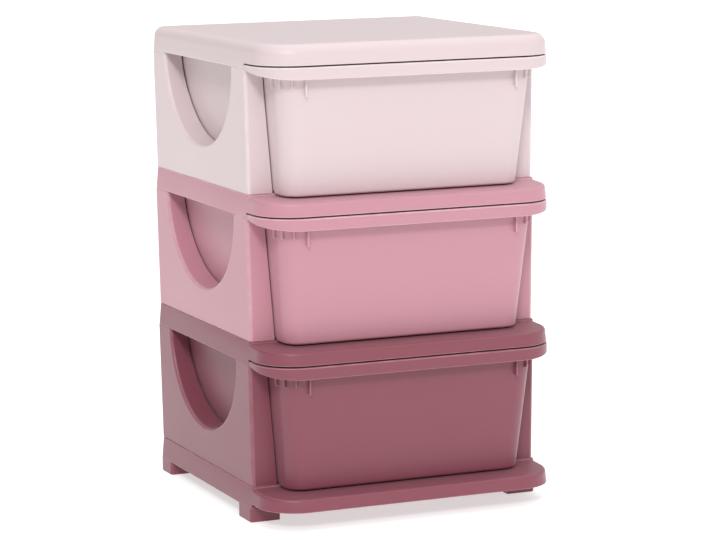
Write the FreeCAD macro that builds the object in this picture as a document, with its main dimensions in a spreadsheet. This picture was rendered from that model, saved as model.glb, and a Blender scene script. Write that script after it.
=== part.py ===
import FreeCAD, Part
import math
import os
from collections import namedtuple

import Sketcher

# A moulded three-tier drawer cabinet. X runs to the right, Y to the back and Z up,
# with the origin on the floor in the middle of the cabinet. All lengths are in millimetres.

SIZES = {
    # whole cabinet
    "overall_width": 372.0,
    "overall_depth": 392.0,
    "foot_height": 16.4,
    "band_height": 26.4,
    "panel_height": 146.4,
    "cover_height": 30.2,
    # shelf bands, cover and base
    "wall": 2.4,
    "deck_thickness": 4.0,
    "band_draft": 2.3,
    "lip_reach": 71.0,
    "lip_lift": 6.0,
    "lip_corner": 48.5,
    "rear_corner": 10.0,
    "ledge_step": 2.2,
    "ledge_drop": 2.4,
    "cover_edge_radius": 13.0,
    "lip_edge_radius": 4.0,
    "foot_width": 37.0,
    "foot_depth": 42.0,
    # side panels
    "panel_inset": 0.6,
    "panel_draft": 2.5,
    "panel_top_thickness": 22.2,
    "panel_bottom_thickness": 30.9,
    "panel_edge_radius": 4.0,
    "window_width": 230.0,
    "window_edge_radius": 4.0,
    # back panels
    "back_depth": 12.0,
    "back_rib_spread": 60.0,
    "back_rib_width": 3.0,
    # tongues, pegs and their seats
    "socket_inset": 12.0,
    "tongue_setback": 22.0,
    "tongue_length": 30.0,
    "tongue_thickness": 6.0,
    "tongue_height": 18.0,
    "collar_wall": 2.0,
    "peg_spread": 60.0,
    "peg_length": 24.0,
    "peg_thickness": 6.0,
    "peg_height": 8.0,
    "back_tongue_spread": 100.0,
    "fit_clearance": 0.3,
    # drawers
    "drawer_gap": 1.5,
    "drawer_reach": 37.0,
    "drawer_back_gap": 6.0,
    "drawer_rake": 23.0,
    "drawer_corner": 22.0,
    "drawer_top_corner": 28.0,
    "drawer_wall": 2.2,
    "toe_gap": 0.6,
    "drawer_bottom_radius": 4.0,
    "drawer_bead": 2.0,
    "drawer_bead_height": 4.0,
    "skid_height": 0.6,
    "skid_width": 10.0,
    "skid_spread": 100.0,
    "skid_margin": 30.0,
    "rim_gap": 1.8,
    "rim_height": 14.5,
    "rim_root_height": 5.0,
    "rim_wall": 2.2,
    "rim_edge_radius": 2.6,
    "rib_thickness": 2.0,
    "rib_depth": 7.0,
    "short_rib_length": 26.0,
    "long_rib_length": 34.5,
    # how far every cut runs past what it cuts
    "overrun": 5.0,
}

TIERS = ("bottom", "middle", "top")
TIER_COUNT = len(TIERS)
WINDOW_DEPTH_SHARE = 0.453
WINDOW_FLANK_SHARE = 0.9
BACK_TONGUE_SHARE = 2 / 3
SHORT_RIB_TURNS = (0.0, 30.0, 60.0)
LONG_RIB_TURNS = (90.0,)
NEAR_SHARE = 0.0001

doc = FreeCAD.newDocument("DrawerCabinet")
sheet = doc.addObject("Spreadsheet::Sheet", "Sizes")
for row, (alias, amount) in enumerate(SIZES.items(), start=1):
    sheet.set(f"A{row}", alias)
    sheet.set(f"B{row}", str(amount))
    sheet.setAlias(f"B{row}", alias)
doc.recompute()


class Size:
    """A length as its value now and as the expression that ties it to the sheet."""

    def __init__(self, value, text):
        self.value = value
        self.text = text

    def joined(self, sign, other, value):
        return Size(value, f"({self.text} {sign} {text_of(other)})")

    def __add__(self, other):
        return self.joined("+", other, self.value + value_of(other))

    def __sub__(self, other):
        return self.joined("-", other, self.value - value_of(other))

    def __mul__(self, other):
        return self.joined("*", other, self.value * value_of(other))

    def __truediv__(self, other):
        return self.joined("/", other, self.value / value_of(other))

    def __neg__(self):
        return self * -1.0


def value_of(amount):
    return amount.value if isinstance(amount, Size) else amount


def text_of(amount):
    return amount.text if isinstance(amount, Size) else f"({amount!r})"


def cell(alias):
    return Size(float(sheet.get(alias)), f"{sheet.Name}.{alias}")


# sizes of the sheet under their own names, and the places that several pieces share
overall_width = cell("overall_width")
overall_depth = cell("overall_depth")
foot_height = cell("foot_height")
band_height = cell("band_height")
panel_height = cell("panel_height")
cover_height = cell("cover_height")
wall = cell("wall")
deck_thickness = cell("deck_thickness")
band_draft = cell("band_draft")
ledge_step = cell("ledge_step")
ledge_drop = cell("ledge_drop")
lip_corner = cell("lip_corner")
rear_corner = cell("rear_corner")
panel_inset = cell("panel_inset")
panel_edge_radius = cell("panel_edge_radius")
tongue_thickness = cell("tongue_thickness")
tongue_length = cell("tongue_length")
peg_thickness = cell("peg_thickness")
peg_length = cell("peg_length")
fit_clearance = cell("fit_clearance")
back_depth = cell("back_depth")
rim_gap = cell("rim_gap")
overrun = cell("overrun")

zero = Size(0.0, "0")
near = overall_width.value * NEAR_SHARE
half_width = overall_width / 2
front = -overall_depth / 2
rear = overall_depth / 2
panel_front = front + cell("lip_reach")
panel_rear = rear - band_draft
panel_depth = panel_rear - panel_front
panel_middle = (panel_front + panel_rear) / 2
tier_pitch = panel_height + band_height
first_deck = foot_height + band_height

# outer and inner faces of a side panel, measured from the middle of the cabinet
panel_outer_top = half_width - panel_inset
panel_outer_bottom = panel_outer_top - cell("panel_draft")
panel_inner_top = panel_outer_top - cell("panel_top_thickness")
panel_inner_bottom = panel_outer_bottom - cell("panel_bottom_thickness")
window_depth = cell("window_width") * WINDOW_DEPTH_SHARE
socket_line = half_width - cell("socket_inset")
tongue_places = panel_depth / 2 - cell("tongue_setback")
drawer_top = panel_height + cell("lip_lift") - rim_gap
back_tongue_line = panel_rear - back_depth * BACK_TONGUE_SHARE

Corner = namedtuple("Corner", "x y radius turn", defaults=(None, 1))


def bind(thing, field, amount):
    thing.setExpression(field, amount.text)


def new_body(label, x, y, z):
    body = doc.addObject("PartDesign::Body", label)
    body.Label = label
    bind(body, "Placement.Base.x", x)
    bind(body, "Placement.Base.y", y)
    bind(body, "Placement.Base.z", z)
    return body


def new_sketch(body, name, role, offset):
    sketch = body.newObject("Sketcher::SketchObject", name)
    plane = next(item for item in body.Origin.OriginFeatures if item.Role == role)
    sketch.AttachmentSupport = [(plane, "")]
    sketch.MapMode = "FlatFace"
    bind(sketch, "AttachmentOffset.Base.z", offset)
    return sketch


def arc_between(start, finish, radius, turn):
    """The shorter arc from start to finish, to the left for a turn of 1 and to the right for -1."""
    chord = finish - start
    rise = math.sqrt(radius ** 2 - (chord.Length / 2) ** 2)
    side = FreeCAD.Vector(-chord.y, chord.x, 0).normalize()
    centre = (start + finish) / 2 + side * (rise * turn)
    first, last = (start, finish) if turn > 0 else (finish, start)
    first_angle = math.atan2(first.y - centre.y, first.x - centre.x)
    last_angle = math.atan2(last.y - centre.y, last.x - centre.x)
    if last_angle < first_angle:
        last_angle += 2 * math.pi
    circle = Part.Circle(centre, FreeCAD.Vector(0, 0, 1), radius)
    return Part.ArcOfCircle(circle, first_angle, last_angle)


def pin(sketch, kind, geometry, point, amount):
    """Holds one coordinate of a point, or a radius, at a size of the sheet."""
    if point is None:
        constraint = Sketcher.Constraint(kind, geometry, amount.value)
    else:
        constraint = Sketcher.Constraint(kind, geometry, point, amount.value)
    index = sketch.addConstraint(constraint)
    bind(sketch, f"Constraints[{index}]", amount)


def draw(sketch, path):
    """Draws a closed outline. A corner's radius and turn give the arc that leads to the next corner."""
    count = len(path)
    pieces = []
    for index, corner in enumerate(path):
        after = path[(index + 1) % count]
        start = FreeCAD.Vector(corner.x.value, corner.y.value, 0)
        finish = FreeCAD.Vector(after.x.value, after.y.value, 0)
        if corner.radius is None:
            pieces.append((sketch.addGeometry(Part.LineSegment(start, finish)), 1, 2))
        else:
            arc = arc_between(start, finish, corner.radius.value, corner.turn)
            ends = (1, 2) if corner.turn > 0 else (2, 1)
            pieces.append((sketch.addGeometry(arc), *ends))
    for index, corner in enumerate(path):
        geometry, first, last = pieces[index]
        next_geometry, next_first, _ = pieces[(index + 1) % count]
        sketch.addConstraint(Sketcher.Constraint("Coincident", geometry, last, next_geometry, next_first))
        pin(sketch, "DistanceX", geometry, first, corner.x)
        pin(sketch, "DistanceY", geometry, first, corner.y)
        if corner.radius is not None:
            pin(sketch, "Radius", geometry, None, corner.radius)


def rectangle(left, right, low, high):
    return [Corner(left, low), Corner(right, low), Corner(right, high), Corner(left, high)]


def centred(x, y, width, depth):
    return rectangle(x - width / 2, x + width / 2, y - depth / 2, y + depth / 2)


def rounded(half, low, high, low_radius, high_radius):
    """A box outline as wide as twice half, with round corners at its front and at its rear."""
    return [
        Corner(-half + low_radius, low),
        Corner(half - low_radius, low, low_radius),
        Corner(half, low + low_radius),
        Corner(half, high - high_radius, high_radius),
        Corner(half - high_radius, high),
        Corner(-half + high_radius, high, high_radius),
        Corner(-half, high - high_radius),
        Corner(-half, low + low_radius, low_radius),
    ]


def extrude(body, name, role, offset, length, paths, kind="Pad", backwards=False):
    """Pads or pockets outlines along the normal of their plane, or against it."""
    sketch = new_sketch(body, name + "_outline", role, offset)
    for path in paths:
        draw(sketch, path)
    feature = body.newObject("PartDesign::" + kind, name)
    feature.Profile = sketch
    feature.Reversed = backwards if kind == "Pad" else not backwards
    if length is None:
        feature.Type = "ThroughAll"
    else:
        bind(feature, "Length", length)
    return feature


def taper(body, name, low, low_path, high, high_path, kind="AdditiveLoft"):
    """A solid, or a cut, that runs straight from one level outline to another."""
    sections = []
    for tag, level, path in (("low", low, low_path), ("high", high, high_path)):
        sketch = new_sketch(body, f"{name}_{tag}", "XY_Plane", level)
        draw(sketch, path)
        sections.append(sketch)
    loft = body.newObject("PartDesign::" + kind, name)
    loft.Profile = sections[0]
    loft.Sections = sections[1:]
    loft.Ruled = True
    return loft


def round_edges(body, name, radius, chosen):
    doc.recompute()
    base = body.Tip
    names = [f"Edge{index}" for index, edge in enumerate(base.Shape.Edges, start=1) if chosen(edge.BoundBox)]
    fillet = body.newObject("PartDesign::Fillet", name)
    fillet.Base = (base, names)
    bind(fillet, "Radius", radius)
    return fillet


def level_at(box, height):
    return abs(box.ZMin - height.value) < near and abs(box.ZMax - height.value) < near


# Shelf bands: a deck with a drafted skirt and a lip that reaches out over the drawer front.

def band_outline(inset):
    return rounded(half_width - inset, front + inset, rear - inset, lip_corner - inset, rear_corner - inset)


def tongue_rectangles(grow):
    """Plan of the tongues that rise from the panels of one tier, larger all round by grow."""
    paths = []
    for across in (-1, 1):
        for along in (-1, 1):
            y = panel_middle + tongue_places * along
            paths.append(centred(socket_line * across, y, tongue_thickness + grow * 2, tongue_length + grow * 2))
        x = cell("back_tongue_spread") * across
        paths.append(centred(x, back_tongue_line, tongue_length + grow * 2, tongue_thickness + grow * 2))
    return paths


def peg_rectangles(grow):
    """Plan of the pegs under the panels of one tier, larger all round by grow."""
    spread = cell("peg_spread")
    paths = []
    for across in (-1, 1):
        for along in (-1, 1):
            y = panel_middle + spread * along
            paths.append(centred(socket_line * across, y, peg_thickness + grow * 2, peg_length + grow * 2))
        paths.append(centred(spread * across, back_tongue_line, peg_length + grow * 2, peg_thickness + grow * 2))
    return paths


def build_band(body, low, height, roof):
    """The outer shell of a cover, shelf or base, with its hollow and the raised underside of its lip."""
    high = low + height
    ceiling = high - roof
    taper(body, "shell", low, band_outline(zero), high, band_outline(band_draft))
    ceiling_inset = wall + band_draft * (height - roof) / height
    under_inset = wall - band_draft * overrun / height
    taper(body, "hollow", low - overrun, band_outline(under_inset), ceiling, band_outline(ceiling_inset),
          kind="SubtractiveLoft")
    under_lip = rectangle(-half_width - overrun, half_width + overrun, front - overrun, panel_front)
    extrude(body, "lip_undercut", "XY_Plane", low, cell("lip_lift"), [under_lip], kind="Pocket")


def build_collars(body, height):
    """Sockets under the deck that take the tongues of the panels below."""
    collar_grow = fit_clearance + cell("collar_wall")
    paths = tongue_rectangles(collar_grow) + tongue_rectangles(fit_clearance)
    extrude(body, "collars", "XY_Plane", zero, height - deck_thickness, paths)


def build_deck_band(body, low):
    """A band under a deck: its hollow is lower below the lip, where the ledge lies below the deck."""
    drop = ledge_step + ledge_drop
    build_band(body, low, band_height, deck_thickness + drop)
    inset = wall + band_draft
    raised = rounded(half_width - inset, panel_front, rear - inset, wall, rear_corner - inset)
    ceiling = low + band_height - deck_thickness
    extrude(body, "deck_hollow", "XY_Plane", ceiling - drop, drop, [raised], kind="Pocket")


def build_ledge(body, high):
    """Steps the deck down in front of the panels, slopes it to the lip and cuts the slots for the pegs."""
    drop = ledge_step + ledge_drop
    slope = ledge_drop / cell("lip_reach")
    wedge = [
        Corner(panel_front, high - ledge_step),
        Corner(panel_front, high + overrun),
        Corner(front - overrun, high + overrun),
        Corner(front - overrun, high - drop - slope * overrun),
    ]
    extrude(body, "ledge", "YZ_Plane", -half_width - overrun, None, [wedge], kind="Pocket")
    lowest = (high - drop).value - near
    foremost = panel_front.value - near
    round_edges(body, "lip_edge", cell("lip_edge_radius"), lambda box: box.ZMin > lowest and box.YMin < foremost)
    slots = peg_rectangles(fit_clearance)
    extrude(body, "peg_slots", "XY_Plane", high - deck_thickness - overrun, None, slots, kind="Pocket")


def build_shelf(label, place):
    body = new_body(label, zero, zero, place)
    build_deck_band(body, zero)
    build_collars(body, band_height)
    build_ledge(body, band_height)
    return body


def build_cover(label, place):
    body = new_body(label, zero, zero, place)
    build_band(body, zero, cover_height, deck_thickness)
    edge_radius = cell("cover_edge_radius")
    ceiling = cover_height - deck_thickness
    round_edges(body, "top_edge", edge_radius, lambda box: level_at(box, cover_height))
    round_edges(body, "inner_edge", edge_radius - wall, lambda box: level_at(box, ceiling))
    build_collars(body, cover_height)
    return body


def foot_outline(across, low, rear_radius, inset):
    """Plan of one foot with its two outer corners round, on the left for -1 and on the right for 1."""
    outer = (half_width - inset) * across
    inner = (half_width - cell("foot_width") + inset) * across
    front_bend = panel_edge_radius - inset
    rear_bend = rear_radius - inset
    near_end = low + inset
    far_end = low + cell("foot_depth") - inset
    return [
        Corner(inner, near_end),
        Corner(outer - front_bend * across, near_end, front_bend, across),
        Corner(outer, near_end + front_bend),
        Corner(outer, far_end - rear_bend, rear_bend, across),
        Corner(outer - rear_bend * across, far_end),
        Corner(inner, far_end),
    ]


def build_base(label):
    body = new_body(label, zero, zero, zero)
    build_deck_band(body, foot_height)
    build_ledge(body, first_deck)
    blocks = []
    hollows = []
    for across in (-1, 1):
        for low, rear_radius in ((panel_front, panel_edge_radius), (rear - cell("foot_depth"), rear_corner)):
            blocks.append(foot_outline(across, low, rear_radius, zero))
            hollows.append(foot_outline(across, low, rear_radius, wall))
    extrude(body, "feet", "XY_Plane", zero, foot_height + wall, blocks)
    extrude(body, "foot_hollows", "XY_Plane", zero, foot_height, hollows, kind="Pocket")
    return body


# Side panels: hollow mouldings, open to the inside, with a half-round window that is open at the top.

def window_outline(grow, top):
    """The window's curve as three arcs, from its right top corner down and round to its left one."""
    half = cell("window_width") / 2
    level = panel_height - wall
    depth = window_depth - wall
    flank = depth * WINDOW_FLANK_SHARE
    flank_centre = half - flank
    spare = depth - flank
    rise = (flank_centre * flank_centre - spare * spare) / (spare * 2)
    bottom_radius = depth + rise + grow
    ratio = bottom_radius / (spare + rise)
    join_x = flank_centre * ratio
    join_z = level + rise - rise * ratio
    return [
        Corner(half + grow, top),
        Corner(half + grow, level, flank + grow, -1),
        Corner(join_x, join_z, bottom_radius, -1),
        Corner(-join_x, join_z, flank + grow, -1),
        Corner(-half - grow, level),
        Corner(-half - grow, top),
    ]


def build_side_panel(label, place, turned):
    """A panel about the cabinet's middle: the same moulding serves the right side, turned round."""
    body = new_body(label, zero, panel_middle, place)
    body.Placement.Rotation = FreeCAD.Rotation(FreeCAD.Vector(0, 0, 1), 180 if turned else 0)
    section = [
        Corner(-panel_outer_bottom, zero),
        Corner(-panel_inner_bottom, zero),
        Corner(-panel_inner_top, panel_height),
        Corner(-panel_outer_top, panel_height),
    ]
    extrude(body, "block", "XZ_Plane", -panel_depth / 2, panel_depth, [section])
    outer_limit = (panel_outer_bottom - panel_edge_radius).value
    round_edges(body, "outer_edges", panel_edge_radius,
                lambda box: box.XMax < -outer_limit and box.ZLength > panel_height.value / 2)
    inside_half = panel_depth / 2 - wall
    window = window_outline(wall, panel_height - wall)
    hollow = [
        Corner(-inside_half, panel_height - wall),
        Corner(-inside_half, wall),
        Corner(inside_half, wall),
        Corner(inside_half, panel_height - wall),
    ] + window[1:-1]
    skin_face = -(panel_outer_bottom - wall)
    extrude(body, "hollow", "YZ_Plane", skin_face, None, [hollow], kind="Pocket")
    opening = window_outline(zero, panel_height + overrun)
    extrude(body, "window", "YZ_Plane", -half_width - overrun, None, [opening], kind="Pocket")
    window_reach = (cell("window_width") / 2 + wall / 2).value
    window_floor = (panel_height - window_depth - wall).value
    round_edges(body, "window_edge", cell("window_edge_radius"),
                lambda box: (box.XMax < -outer_limit and max(-box.YMin, box.YMax) < window_reach
                             and box.ZMin > window_floor))
    tongues = []
    pegs = []
    for along in (-1, 1):
        tongues.append(centred(-socket_line, tongue_places * along, tongue_thickness, tongue_length))
        pegs.append(centred(-socket_line, cell("peg_spread") * along, peg_thickness, peg_length))
    extrude(body, "tongues", "XY_Plane", panel_height - wall, cell("tongue_height") + wall, tongues)
    extrude(body, "pegs", "XY_Plane", -cell("peg_height"), cell("peg_height") + wall, pegs)
    return body


# Back panels: shallow trays that stand between the side panels.

def build_back_panel(label, place):
    body = new_body(label, zero, zero, place)
    low_half = panel_inner_bottom - fit_clearance
    high_half = panel_inner_top - fit_clearance
    section = [
        Corner(-low_half, zero),
        Corner(low_half, zero),
        Corner(high_half, panel_height),
        Corner(-high_half, panel_height),
    ]
    lean = (high_half - low_half) / panel_height
    low_inside = low_half - wall + lean * wall
    high_inside = high_half - wall - lean * wall
    hollow = [
        Corner(-low_inside, wall),
        Corner(low_inside, wall),
        Corner(high_inside, panel_height - wall),
        Corner(-high_inside, panel_height - wall),
    ]
    rib_width = cell("back_rib_width")
    ribs = []
    for across in (-1, 1):
        x = cell("back_rib_spread") * across
        ribs.append(rectangle(x - rib_width / 2, x + rib_width / 2, wall / 2, panel_height - wall / 2))
    extrude(body, "block", "XZ_Plane", -panel_rear, back_depth, [section])
    extrude(body, "hollow", "XZ_Plane", -panel_rear + wall, None, [hollow], kind="Pocket")
    extrude(body, "ribs", "XZ_Plane", -panel_rear + wall / 2, back_depth - wall / 2, ribs)
    tongues = []
    pegs = []
    for across in (-1, 1):
        x = cell("back_tongue_spread") * across
        tongues.append(centred(x, back_tongue_line, tongue_length, tongue_thickness))
        x = cell("peg_spread") * across
        pegs.append(centred(x, back_tongue_line, peg_length, peg_thickness))
    extrude(body, "tongues", "XY_Plane", panel_height - wall, cell("tongue_height") + wall, tongues)
    extrude(body, "pegs", "XY_Plane", -cell("peg_height"), cell("peg_height") + wall, pegs)
    return body


# Drawers: tapered tubs with a pull rim that follows the lip above it.

def tub_half(level):
    """Half the tub's outer width at a level: it follows the inner faces of the side panels."""
    lean = (panel_inner_top - panel_inner_bottom) / panel_height
    return panel_inner_bottom + lean * level - cell("drawer_gap")


def tub_front(level):
    """The tub's front at a level: it rakes forward towards its top."""
    return panel_front - cell("drawer_reach") - cell("drawer_rake") * level / drawer_top


def tub_corner(level):
    """Radius of the tub's upright corners at a level."""
    return cell("drawer_corner") + (cell("drawer_top_corner") - cell("drawer_corner")) * level / drawer_top


def tub_outline(level, inset):
    """The tub's plan at a level, drafted at the rear as it is at the sides."""
    high = panel_rear - back_depth - cell("drawer_back_gap") - tub_half(drawer_top) + tub_half(level) - inset
    radius = tub_corner(level) - inset
    return rounded(tub_half(level) - inset, tub_front(level) + inset, high, radius, radius)


def rib_outline(across, turn, level):
    """Plan of one rib that stands out from the tub's round corner, turned from the side to the front."""
    radius = tub_corner(level)
    centre_x = tub_half(level) - radius
    centre_y = tub_front(level) + radius
    cosine = math.cos(math.radians(turn))
    sine = math.sin(math.radians(turn))
    thick = cell("rib_thickness") / 2
    inner = radius - cell("drawer_wall") / 2
    outer = radius + cell("rib_depth")
    path = []
    for reach, side in ((inner, 1), (inner, -1), (outer, -1), (outer, 1)):
        x = centre_x + reach * cosine + thick * (side * sine)
        y = centre_y - reach * sine + thick * (side * cosine)
        path.append(Corner(x * across, y))
    return path


def build_drawer(label, place):
    body = new_body(label, zero, zero, place)
    skid_height = cell("skid_height")
    rim_height = cell("rim_height")
    rim_wall = cell("rim_wall")
    drawer_wall = cell("drawer_wall")
    bead = cell("drawer_bead")
    rim_low = drawer_top - rim_height
    rim_rear = panel_front - rim_gap

    def rim_outline(inset, back):
        radius = lip_corner - inset
        half = half_width - inset
        low = front + inset
        return [
            Corner(-half + radius, low),
            Corner(half - radius, low, radius),
            Corner(half, low + radius),
            Corner(half, back),
            Corner(-half, back),
            Corner(-half, low + radius, radius),
        ]

    extrude(body, "rim", "XY_Plane", rim_low, rim_height, [rim_outline(zero, rim_rear)])
    round_edges(body, "rim_edge", cell("rim_edge_radius"),
                lambda box: level_at(box, drawer_top) and box.YMin < rim_rear.value - near)
    under_rim = rim_outline(rim_wall, rim_rear + overrun)
    extrude(body, "under_rim", "XY_Plane", rim_low, rim_height - rim_wall, [under_rim], kind="Pocket")
    rim_depth = rim_rear - front
    slope = (rim_height - cell("rim_root_height")) / rim_depth
    below = rim_low - slope * overrun
    wedge = [
        Corner(rim_rear + overrun, drawer_top - cell("rim_root_height") + slope * overrun),
        Corner(front - overrun, below),
        Corner(rim_rear + overrun, below),
    ]
    extrude(body, "rim_slant", "YZ_Plane", -half_width - overrun, None, [wedge], kind="Pocket")

    for name, length, turns in (
        ("short_ribs", cell("short_rib_length"), SHORT_RIB_TURNS),
        ("long_ribs", cell("long_rib_length"), LONG_RIB_TURNS),
    ):
        rib_low = drawer_top - length
        paths = [rib_outline(across, turn, rib_low) for across in (-1, 1) for turn in turns]
        extrude(body, name, "XY_Plane", rib_low, length - rim_wall / 2, paths)

    toe = cell("toe_gap") - ledge_step
    taper(body, "tub", toe, tub_outline(toe, zero), drawer_top, tub_outline(drawer_top, zero))
    bead_outline = tub_outline(drawer_top, -bead)
    bead_height = cell("drawer_bead_height")
    extrude(body, "bead", "XY_Plane", drawer_top - bead_height, bead_height, [bead_outline])
    floor = skid_height + drawer_wall
    mouth = drawer_top + overrun
    taper(body, "inside", floor, tub_outline(floor, drawer_wall), mouth, tub_outline(mouth, drawer_wall),
          kind="SubtractiveLoft")
    bottom_radius = cell("drawer_bottom_radius")
    round_edges(body, "bottom_edge", bottom_radius, lambda box: level_at(box, toe))
    round_edges(body, "floor_edge", bottom_radius - drawer_wall, lambda box: level_at(box, floor))
    behind_toe = rectangle(-half_width, half_width, panel_front - cell("toe_gap"), rear)
    extrude(body, "runner_cut", "XY_Plane", toe - overrun, skid_height - toe + overrun, [behind_toe], kind="Pocket")
    skids = []
    margin = cell("skid_margin")
    for across in (-1, 1):
        x = cell("skid_spread") * across
        half = cell("skid_width") / 2
        skids.append(rectangle(x - half, x + half, panel_front + margin, panel_rear - back_depth - margin))
    extrude(body, "skids", "XY_Plane", zero, skid_height + drawer_wall / 2, skids)
    return body


bodies = [build_base("base")]
for tier, name in enumerate(TIERS):
    deck = first_deck + tier_pitch * tier
    bodies.append(build_side_panel(f"left_panel_{name}", deck, turned=False))
    bodies.append(build_side_panel(f"right_panel_{name}", deck, turned=True))
    bodies.append(build_back_panel(f"back_panel_{name}", deck))
    bodies.append(build_drawer(f"drawer_{name}", deck))
for tier, name in enumerate(("lower_shelf", "upper_shelf"), start=1):
    bodies.append(build_shelf(name, first_deck + tier_pitch * tier - band_height))
bodies.append(build_cover("top_cover", first_deck + tier_pitch * TIER_COUNT - band_height))
doc.recompute()

for thing in doc.Objects:
    if "Invalid" in thing.State or "Error" in thing.State:
        raise RuntimeError(f"{thing.Label} failed: {thing.State}")
for body in bodies:
    if body.Shape.isNull() or not body.Shape.isValid():
        raise RuntimeError(f"{body.Label} has no valid shape")

os.makedirs("parts", exist_ok=True)
for body in bodies:
    body.Shape.exportStep(os.path.join("parts", f"{body.Label}.step"))
    box = body.Shape.BoundBox
    print(f"{body.Label}: {len(body.Shape.Solids)} solid, {body.Shape.Volume / 1000:.1f} cm3, "
          f"x {box.XMin:.1f} to {box.XMax:.1f}, y {box.YMin:.1f} to {box.YMax:.1f}, "
          f"z {box.ZMin:.1f} to {box.ZMax:.1f}")
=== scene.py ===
"""Dresses the three-tier moulded drawer cabinet: satin plastic shells with soft edges, in a pale studio."""

import logging
import math
from dataclasses import dataclass, replace
from enum import Enum
from typing import Any, Iterable, Sequence

import bmesh
import bpy
from bmesh.types import BMEdge, BMFace, BMVert
from mathutils import Matrix, Vector


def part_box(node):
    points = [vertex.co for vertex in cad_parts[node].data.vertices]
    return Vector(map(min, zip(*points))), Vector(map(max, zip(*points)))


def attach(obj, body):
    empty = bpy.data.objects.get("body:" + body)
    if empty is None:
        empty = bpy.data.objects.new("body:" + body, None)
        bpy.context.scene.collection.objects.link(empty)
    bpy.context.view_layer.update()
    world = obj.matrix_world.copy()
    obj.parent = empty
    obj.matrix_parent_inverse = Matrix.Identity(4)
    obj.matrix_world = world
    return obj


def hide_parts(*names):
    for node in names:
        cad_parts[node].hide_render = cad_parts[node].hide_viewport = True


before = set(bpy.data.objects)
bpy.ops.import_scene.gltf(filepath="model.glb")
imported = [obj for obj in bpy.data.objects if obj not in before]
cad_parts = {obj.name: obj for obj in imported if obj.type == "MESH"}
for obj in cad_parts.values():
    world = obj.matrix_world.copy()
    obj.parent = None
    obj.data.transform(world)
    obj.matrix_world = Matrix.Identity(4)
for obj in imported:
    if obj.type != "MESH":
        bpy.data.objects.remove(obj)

LOG = logging.getLogger("cabinet")
MM = 0.001
QUARTER_TURN = math.pi / 2
UP = Vector((0, 0, 1))
REARWARD = Vector((0, 1, 0))
IN_PLACE = Matrix.Identity(4)
WHITE = (1.0, 1.0, 1.0, 1.0)

# A step that shows as one line is TINY wide, and points within a HAIR are one point.
TINY = 0.3 * MM
HAIR = 0.0003 * MM

# Edges sharper than SHARP_ANGLE are softened.
SHARP_ANGLE = math.radians(40)
SOFT_RADIUS = 0.8 * MM
SOFT_SEGMENTS = 2
# Roundings up to this radius take the full lighter edge colour, which is partly wear and partly painted
# highlight; the layer below marks their faces.
EDGE_WEAR_HIGHLIGHT_RADIUS = 1.6 * MM
EDGE_WEAR_HIGHLIGHT_LAYER = "edge_wear_highlight"

# The display curve: its highest level, the end and slope of its straight foot, and its shift and power.
FULL_LEVEL = 255
CURVE_FOOT = 0.04045
CURVE_SLOPE = 12.92
CURVE_SHIFT = 0.055
CURVE_POWER = 2.4

# The sockets that a Mix node uses for colours.
MIX_SHARE, MIX_FIRST, MIX_SECOND, MIX_RESULT = 0, 6, 7, 2


class Tier(Enum):
    """The three storeys of the cabinet, from the floor up."""

    BOTTOM = "bottom"
    MIDDLE = "middle"
    TOP = "top"


class Side(Enum):
    """The two flanks of the cabinet, as the sign of X."""

    LEFT = -1
    RIGHT = 1


def linear(red: int, green: int, blue: int) -> tuple[float, float, float]:
    """Turns a display colour into scene-linear light.

    Args:
        red: Red from 0 to 255.
        green: Green from 0 to 255.
        blue: Blue from 0 to 255.

    Returns:
        The linear red, green and blue.
    """

    def channel(level: int) -> float:
        """Undoes the display curve for one channel.

        Args:
            level: The channel from 0 to 255.

        Returns:
            The linear channel.
        """
        share = level / FULL_LEVEL
        if share <= CURVE_FOOT:
            return share / CURVE_SLOPE
        return ((share + CURVE_SHIFT) / (1 + CURVE_SHIFT)) ** CURVE_POWER

    return channel(red), channel(green), channel(blue)


class Value:
    """A number that varies over a surface, with arithmetic that adds Math nodes."""

    def __init__(self, graph: "Graph", socket: bpy.types.NodeSocket) -> None:
        """Keeps the graph and the socket that the number comes from."""
        self.graph = graph
        self.socket = socket

    def math(self, operation: str, first: Any, second: Any) -> "Value":
        """Adds one Math node.

        Args:
            operation: The Math node's operation.
            first: A Value or a number.
            second: A Value or a number.

        Returns:
            The node's result.
        """
        node = self.graph.node("ShaderNodeMath", {"operation": operation}, {0: first, 1: second})
        return Value(self.graph, node.outputs[0])

    def __add__(self, other: Any) -> "Value":
        """Adds a number or another value."""
        return self.math("ADD", self, other)

    __radd__ = __add__

    def __sub__(self, other: Any) -> "Value":
        """Takes a number or another value away."""
        return self.math("SUBTRACT", self, other)

    def __rsub__(self, other: Any) -> "Value":
        """Takes this value away from a number."""
        return self.math("SUBTRACT", other, self)

    def __mul__(self, other: Any) -> "Value":
        """Multiplies by a number or another value."""
        return self.math("MULTIPLY", self, other)

    __rmul__ = __mul__


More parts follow.
